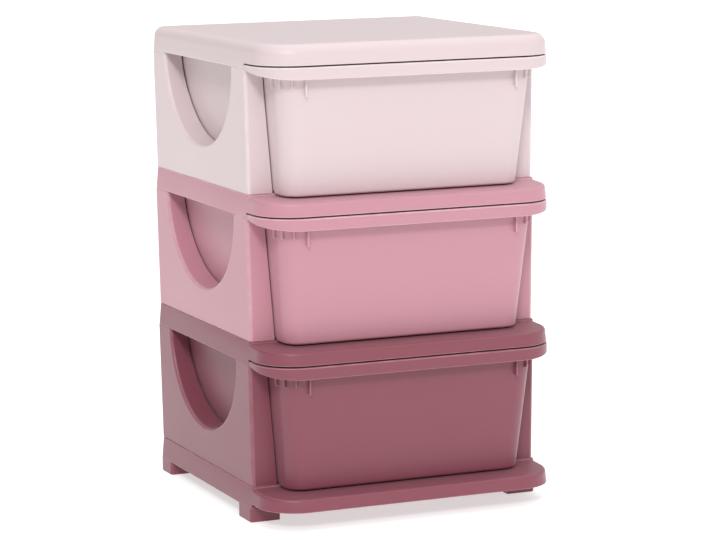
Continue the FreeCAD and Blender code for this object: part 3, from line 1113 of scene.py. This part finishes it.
    def ribs(self, form: Moulding) -> None:
        """Stands the gusset ribs round the two front corners, under the pull, at turns given in degrees.

        Args:
            form: The mesh in the making.
        """
        for length, depth, turns in ((self.short_rib, self.short_rib_depth, self.short_turns),
                                     (self.long_rib, self.long_rib_depth, self.long_turns)):
            low = self.top - length
            plan = self.plan(low)
            radius = plan.front_radius
            for side in Side:
                for turn in turns:
                    angle = math.radians(-turn if side is Side.RIGHT else 180 + turn)
                    centre = ((plan.half_width - radius) * side.value, plan.front + radius, self.deck)
                    place = Matrix.Translation(centre) @ Matrix.Rotation(angle, 4, "Z")
                    form.block((radius - self.wall / 2, -self.rib_thickness / 2, low),
                               (radius + depth, self.rib_thickness / 2, self.top - self.wall / 2), place)

    def skids(self, form: Moulding) -> None:
        """Lays the two flat skids under the floor.

        Args:
            form: The mesh in the making.
        """
        box = self.cabinet
        for side in Side:
            x = self.skid_spread * side.value
            form.block((x - self.skid_width / 2, box.panel_front + self.skid_margin, self.deck),
                       (x + self.skid_width / 2, box.panel_rear - box.back_depth - self.skid_margin,
                        self.deck + self.skid_height + self.wall / 2))


def outward(azimuth: float, elevation: float) -> Vector:
    """Returns the direction from the cabinet to a place, by its turn from the front and its elevation."""
    level = math.cos(elevation)
    return Vector((math.sin(azimuth) * level, -math.cos(azimuth) * level, math.sin(elevation)))


@dataclass(frozen=True)
class Lamp:
    """A far-off soft studio light."""

    name: str
    azimuth: float
    elevation: float
    spread: float
    strength: float

    def hang(self) -> bpy.types.Object:
        """Turns the light towards the cabinet.

        Returns:
            The light.
        """
        data = bpy.data.lights.new(self.name, "SUN")
        data.angle = self.spread
        data.energy = self.strength
        lamp = bpy.data.objects.new(self.name, data)
        aim = outward(self.azimuth, self.elevation).to_track_quat("Z", "Y")
        lamp.matrix_world = aim.to_matrix().to_4x4()
        bpy.context.scene.collection.objects.link(lamp)
        return lamp


@dataclass(frozen=True)
class Studio:
    """A pale floor, soft light from the sky and a lamp, and the camera."""

    target: tuple[float, float, float] = (0.0, 35.6 * MM, 282.0 * MM)
    azimuth: float = math.radians(-23.057)
    elevation: float = math.radians(8.811)
    roll: float = math.radians(-0.641)
    distance: float = 3557.4 * MM
    slide_right: float = 20.9 * MM
    slide_up: float = -16.5 * MM
    lens: float = 144.7
    sensor: float = 36.0
    floor_size: float = 14.0
    floor_colour: tuple[float, float, float] = (0.6, 0.6, 0.6)
    floor_roughness: float = 0.9
    floor_glow: float = 0.58
    sky_base: float = 0.36
    sky_right: float = 0.44
    sky_top: float = 1.75
    lamps: tuple[Lamp, ...] = (
        Lamp("key", azimuth=math.radians(-29), elevation=math.radians(36),
             spread=math.radians(12), strength=1.4),
    )

    def camera(self) -> bpy.types.Object:
        """Places the camera in front of the cabinet, to the left and a little above.

        Returns:
            The camera.
        """
        away = outward(self.azimuth, self.elevation)
        level_right = (-away).cross(UP).normalized()
        level_up = level_right.cross(-away)
        turn = Matrix.Rotation(self.roll, 3, away)
        right, up = turn @ level_right, turn @ level_up
        spot = Vector(self.target) + away * self.distance
        spot += level_right * self.slide_right
        spot += level_up * self.slide_up
        data = bpy.data.cameras.new("camera")
        data.lens = self.lens
        data.sensor_width = self.sensor
        data.sensor_fit = "HORIZONTAL"
        eye = bpy.data.objects.new("camera", data)
        eye.matrix_world = Matrix.Translation(spot) @ Matrix((right, up, away)).transposed().to_4x4()
        bpy.context.scene.collection.objects.link(eye)
        bpy.context.scene.camera = eye
        return eye

    def floor(self) -> bpy.types.Object:
        """Lays the plain pale floor.

        Returns:
            The floor.
        """
        form = bmesh.new()
        bmesh.ops.create_grid(form, x_segments=1, y_segments=1, size=self.floor_size)
        data = bpy.data.meshes.new("floor")
        form.to_mesh(data)
        form.free()
        ground = bpy.data.objects.new("floor", data)
        bpy.context.scene.collection.objects.link(ground)
        graph = Graph(bpy.data.materials.new("floor_paint"))
        shader = graph.node("ShaderNodeBsdfPrincipled", {}, {
            "Base Color": (*self.floor_colour, 1.0), "Roughness": self.floor_roughness,
            "Emission Color": WHITE, "Emission Strength": self.floor_glow,
        })
        graph.node("ShaderNodeOutputMaterial", {}, {"Surface": shader.outputs[0]})
        data.materials.append(graph.owner)
        return ground

    def sky(self) -> None:
        """Surrounds the studio with white light that is strongest above and on the right."""
        graph = Graph(bpy.data.worlds.new("studio_sky"))
        direction = graph.node("ShaderNodeTexCoord", {}, {}).outputs["Generated"]
        parts = graph.node("ShaderNodeSeparateXYZ", {}, {"Vector": direction})
        across, upward = (Value(graph, parts.outputs[axis]) for axis in "XZ")
        strength = self.sky_base + across * self.sky_right + upward * upward * self.sky_top
        glow = graph.node("ShaderNodeBackground", {}, {"Strength": strength})
        graph.node("ShaderNodeOutputWorld", {}, {"Surface": glow.outputs[0]})
        bpy.context.scene.world = graph.owner

    def build(self) -> None:
        """Sets up the floor, the light and the camera."""
        self.floor()
        self.sky()
        for lamp in self.lamps:
            lamp.hang()
        self.camera()
        bpy.context.scene.view_settings.view_transform = "Standard"


# Each tier's colour, a slightly darker random cloud tone, and a lighter edge colour that is partly wear and
# partly painted highlight.
FINISHES = {
    Tier.TOP: PlasticFinish(
        "pale_plastic",
        colour=linear(218, 200, 202), cloudy=linear(212, 194, 196), edge_wear_highlight_colour=linear(240, 228, 229),
    ),
    Tier.MIDDLE: PlasticFinish(
        "pink_plastic",
        colour=linear(196, 141, 153), cloudy=linear(190, 135, 147), edge_wear_highlight_colour=linear(224, 186, 194),
    ),
    Tier.BOTTOM: PlasticFinish(
        "rose_plastic",
        colour=linear(134, 72, 84), cloudy=linear(127, 66, 78), edge_wear_highlight_colour=linear(178, 126, 136),
    ),
}


def mouldings(cabinet: Cabinet) -> list[Piece]:
    """Lists every moulding of the cabinet.

    Args:
        cabinet: The sizes that they share.

    Returns:
        The four decks, then the panels and the drawer of each tier, from the floor up.
    """
    paints = {tier: finish.material() for tier, finish in FINISHES.items()}
    decks = cabinet.decks
    height = cabinet.panel_height

    def common(node: str, tier: Tier, body: str = "cabinet") -> tuple[Any, ...]:
        """Gathers what every piece is given."""
        return node, body, FINISHES[tier], paints[tier], cabinet

    pieces: list[Piece] = [
        FootedBand(*common("base", Tier.BOTTOM), low=cabinet.floor_gap, high=decks[Tier.BOTTOM]),
        Band(*common("lower_shelf", Tier.BOTTOM), low=decks[Tier.BOTTOM] + height, high=decks[Tier.MIDDLE]),
        Band(*common("upper_shelf", Tier.MIDDLE), low=decks[Tier.MIDDLE] + height, high=decks[Tier.TOP]),
        Lid(*common("top_cover", Tier.TOP), low=decks[Tier.TOP] + height, high=cabinet.top),
    ]
    for tier in Tier:
        for side in Side:
            node = f"{side.name.lower()}_panel_{tier.value}"
            pieces.append(SidePanel(*common(node, tier), side=side, deck=decks[tier]))
        pieces.append(BackPanel(*common(f"back_panel_{tier.value}", tier), deck=decks[tier]))
        drawer = common(f"drawer_{tier.value}", tier, f"{tier.value}_drawer")
        pieces.append(Drawer(*drawer, deck=decks[tier]))
    return pieces


def main() -> None:
    """Builds the cabinet's mouldings and the studio."""
    logging.basicConfig(level=logging.INFO, format="%(name)s: %(message)s")
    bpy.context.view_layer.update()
    for piece in mouldings(Cabinet.measured()):
        piece.dress()
    Studio().build()


if __name__ == "__main__":
    main()
